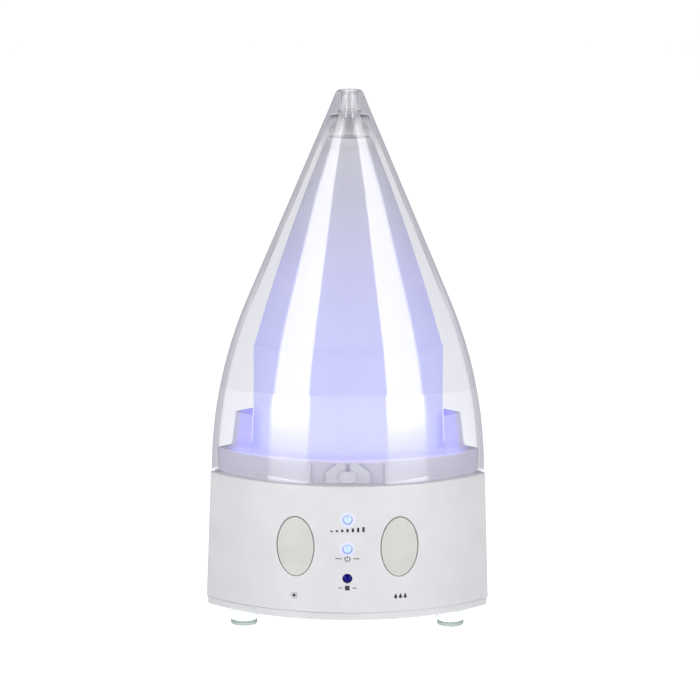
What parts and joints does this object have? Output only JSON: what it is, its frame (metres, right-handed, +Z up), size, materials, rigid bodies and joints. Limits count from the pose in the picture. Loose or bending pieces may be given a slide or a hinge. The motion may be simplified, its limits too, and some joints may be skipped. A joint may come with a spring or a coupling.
{
  "type": "cool mist humidifier",
  "caption": "Tabletop cool mist humidifier: clear drop-shaped cover over a frosted lit dome on a white base with two oval buttons.",
  "frame": {"origin": "on the floor under the middle of the base", "axes": "+Z up, -Y out of the front with the buttons, +X to the right seen from the front"},
  "size_m": [0.1566, 0.0704, 0.2972],
  "materials": {
    "white": "satin gloss, injection moulded",
    "button": "satin gloss, warm light grey",
    "cover": "clear plastic, polished inside and out",
    "nozzle": "clear plastic, polished",
    "tray": "translucent, faintly violet",
    "frosted": "frosted translucent, lit blue-violet from below",
    "baffle": "frosted translucent",
    "catch": "translucent grey",
    "foot": "translucent, faintly cyan",
    "rubber": "soft, grey-green",
    "black": "fine matt texture",
    "inner_white": "plain moulded",
    "board": "green solder mask",
    "pale_lamp": "clear lens, lit pale blue-white",
    "dark_lamp": "dark blue lens, unlit",
    "ceramic": "polished",
    "steel": "zinc plated",
    "aluminium": "bare"
  },
  "bodies": {
    "base": {"base_shell": "white", "base_plate": "white", "water_tray": "tray", "front_catch": "catch", "catch_plug": "catch", "foot_front_left": "foot", "foot_front_right": "foot", "foot_rear_left": "foot", "foot_rear_right": "foot", "foot_pad_front_left": "rubber", "foot_pad_front_right": "rubber", "foot_pad_rear_left": "rubber", "foot_pad_rear_right": "rubber", "tray_seal": "rubber", "transducer_seal": "rubber", "light_switch": "black", "mist_switch": "black", "fan_frame": "black", "inductor": "black", "power_inlet": "black", "float_sensor": "black", "fan_duct": "inner_white", "float_cap": "inner_white", "control_board": "board", "driver_board": "board", "mood_light_board": "board", "mist_level_lamp": "pale_lamp", "power_lamp": "pale_lamp", "mood_lamp_1": "pale_lamp", "mood_lamp_2": "pale_lamp", "mood_lamp_3": "pale_lamp", "mood_lamp_4": "pale_lamp", "stop_lamp": "dark_lamp", "transducer_disc": "ceramic", "base_screw_left": "steel", "base_screw_right": "steel", "base_screw_front": "steel", "base_screw_rear": "steel", "board_screw_1": "steel", "board_screw_2": "steel", "board_screw_3": "steel", "board_screw_4": "steel", "transducer_clamp": "steel", "heat_sink": "aluminium", "capacitor": "aluminium"},
    "dome": {"inner_dome": "frosted", "mist_nozzle": "nozzle", "splash_baffle": "baffle"},
    "cover": {"outer_cover": "cover"},
    "light_button": {"light_button": "button"},
    "mist_button": {"mist_button": "button"},
    "fan": {"fan_impeller": "black"},
    "float": {"float_ring": "inner_white"}
  },
  "joints": [
    {"name": "dome_lift", "type": "slide", "parent": "base", "child": "dome", "axis": [0, 0, 1], "range_m": [0, 0.21]},
    {"name": "cover_lift", "type": "slide", "parent": "dome", "child": "cover", "axis": [0, 0, 1], "range_m": [0, 0.21]},
    {"name": "light_button_press", "type": "slide", "parent": "base", "child": "light_button", "axis": [0, 1, 0], "range_m": [0, 0.0008], "stiffness_N_per_m": 600},
    {"name": "mist_button_press", "type": "slide", "parent": "base", "child": "mist_button", "axis": [0, 1, 0], "range_m": [0, 0.0008], "stiffness_N_per_m": 600},
    {"name": "fan_spin", "type": "hinge", "parent": "base", "child": "fan", "pos_m": [-0.026, 0, 0.02], "axis": [0, 0, 1], "continuous": true},
    {"name": "float_rise", "type": "slide", "parent": "base", "child": "float", "axis": [0, 0, 1], "range_m": [0, 0.006]}
  ]
}
